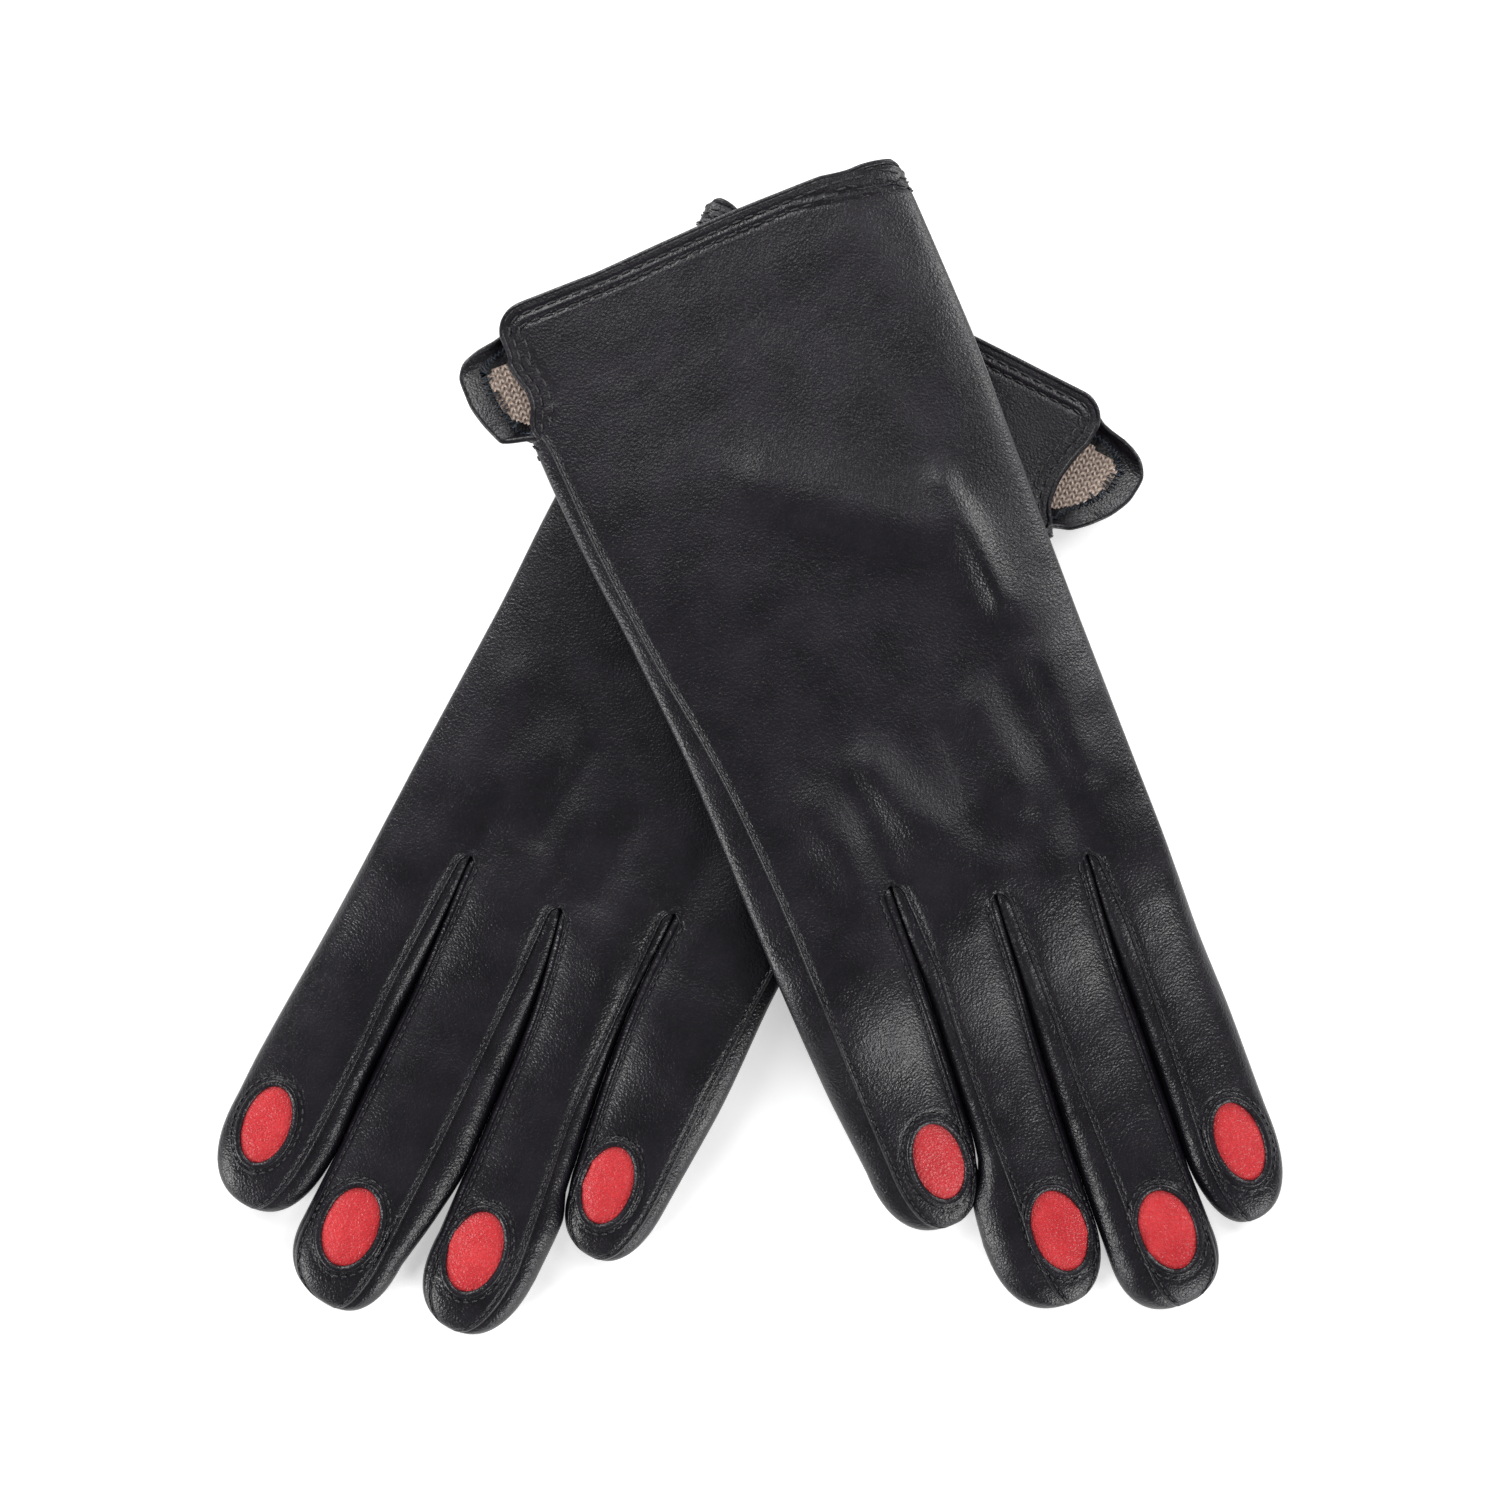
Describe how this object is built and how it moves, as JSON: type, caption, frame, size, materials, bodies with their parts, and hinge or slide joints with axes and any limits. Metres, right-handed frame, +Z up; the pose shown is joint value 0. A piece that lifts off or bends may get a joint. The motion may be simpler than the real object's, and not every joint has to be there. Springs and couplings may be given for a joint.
{
  "type": "pair of leather gloves",
  "caption": "Pair of lined leather dress gloves with red oval nail windows, laid crossed, palms down, each finger and thumb hinged.",
  "frame": {"origin": "centre of the pair's bounding box in plan, on the surface the gloves lie on", "axes": "+Z up from the surface; +Y towards the cuffs, the pair's longest extent; +X towards the right glove's fingertips' side"},
  "size_m": [0.2334, 0.2604, 0.0312],
  "materials": {
    "black_leather": "fine-grained, soft sheen",
    "red_leather": "smooth, matt",
    "lining_knit": "fine brushed knit"
  },
  "bodies": {
    "left_hand": {"left_back": "black_leather", "left_palm": "black_leather", "left_hand_lining": "lining_knit", "left_cuff_facing_back": "black_leather", "left_cuff_facing_palm": "black_leather"},
    "left_index": {"left_index_back": "black_leather", "left_index_palm": "black_leather", "left_index_fourchette_ulnar": "black_leather", "left_index_nail": "red_leather", "left_index_lining": "lining_knit"},
    "left_middle": {"left_middle_back": "black_leather", "left_middle_palm": "black_leather", "left_middle_fourchette_ulnar": "black_leather", "left_middle_fourchette_radial": "black_leather", "left_middle_nail": "red_leather", "left_middle_lining": "lining_knit"},
    "left_ring": {"left_ring_back": "black_leather", "left_ring_palm": "black_leather", "left_ring_fourchette_ulnar": "black_leather", "left_ring_fourchette_radial": "black_leather", "left_ring_nail": "red_leather", "left_ring_lining": "lining_knit"},
    "left_little": {"left_little_back": "black_leather", "left_little_palm": "black_leather", "left_little_fourchette_radial": "black_leather", "left_little_nail": "red_leather", "left_little_lining": "lining_knit"},
    "left_thumb": {"left_thumb": "black_leather", "left_thumb_nail": "red_leather", "left_thumb_lining": "lining_knit"},
    "right_hand": {"right_back": "black_leather", "right_palm": "black_leather", "right_hand_lining": "lining_knit", "right_cuff_facing_back": "black_leather", "right_cuff_facing_palm": "black_leather"},
    "right_index": {"right_index_back": "black_leather", "right_index_palm": "black_leather", "right_index_fourchette_ulnar": "black_leather", "right_index_nail": "red_leather", "right_index_lining": "lining_knit"},
    "right_middle": {"right_middle_back": "black_leather", "right_middle_palm": "black_leather", "right_middle_fourchette_ulnar": "black_leather", "right_middle_fourchette_radial": "black_leather", "right_middle_nail": "red_leather", "right_middle_lining": "lining_knit"},
    "right_ring": {"right_ring_back": "black_leather", "right_ring_palm": "black_leather", "right_ring_fourchette_ulnar": "black_leather", "right_ring_fourchette_radial": "black_leather", "right_ring_nail": "red_leather", "right_ring_lining": "lining_knit"},
    "right_little": {"right_little_back": "black_leather", "right_little_palm": "black_leather", "right_little_fourchette_radial": "black_leather", "right_little_nail": "red_leather", "right_little_lining": "lining_knit"},
    "right_thumb": {"right_thumb": "black_leather", "right_thumb_nail": "red_leather", "right_thumb_lining": "lining_knit"}
  },
  "joints": [
    {"name": "right_glove_lift", "type": "slide", "parent": "left_hand", "child": "right_hand", "axis": [0, 0, 1], "range_m": [0, 0.12]},
    {"name": "left_index_lift", "type": "hinge", "parent": "left_hand", "child": "left_index", "pos_m": [-0.07341, -0.02634, 0.01507], "axis": [-0.8788, 0.4772, 0], "range_deg": [0, 60]},
    {"name": "left_middle_lift", "type": "hinge", "parent": "left_hand", "child": "left_middle", "pos_m": [-0.05417, -0.03679, 0.01507], "axis": [-0.8788, 0.4772, 0], "range_deg": [0, 60]},
    {"name": "left_ring_lift", "type": "hinge", "parent": "left_hand", "child": "left_ring", "pos_m": [-0.03483, -0.04729, 0.01507], "axis": [-0.8788, 0.4772, 0], "range_deg": [0, 60]},
    {"name": "left_little_lift", "type": "hinge", "parent": "left_hand", "child": "left_little", "pos_m": [-0.00756, -0.05072, 0.0154], "axis": [-0.8788, 0.4772, 0], "range_deg": [0, 60]},
    {"name": "left_thumb_swing", "type": "hinge", "parent": "left_hand", "child": "left_thumb", "pos_m": [-0.02497, 0.02621, 0.00315], "axis": [0, 0, -1], "range_deg": [0, 65]},
    {"name": "right_index_lift", "type": "hinge", "parent": "right_hand", "child": "right_index", "pos_m": [0.08237, -0.02382, 0.03025], "axis": [-0.9278, -0.373, 0], "range_deg": [0, 60]},
    {"name": "right_middle_lift", "type": "hinge", "parent": "right_hand", "child": "right_middle", "pos_m": [0.06363, -0.03136, 0.03025], "axis": [-0.9278, -0.373, 0], "range_deg": [0, 60]},
    {"name": "right_ring_lift", "type": "hinge", "parent": "right_hand", "child": "right_ring", "pos_m": [0.04396, -0.03926, 0.03025], "axis": [-0.9278, -0.373, 0], "range_deg": [0, 60]},
    {"name": "right_little_lift", "type": "hinge", "parent": "right_hand", "child": "right_little", "pos_m": [0.01592, -0.03976, 0.0312], "axis": [-0.9278, -0.373, 0], "range_deg": [0, 60]},
    {"name": "right_thumb_swing", "type": "hinge", "parent": "right_hand", "child": "right_thumb", "pos_m": [0.04168, 0.03451, 0.01895], "axis": [0, 0, 1], "range_deg": [0, 65]}
  ]
}
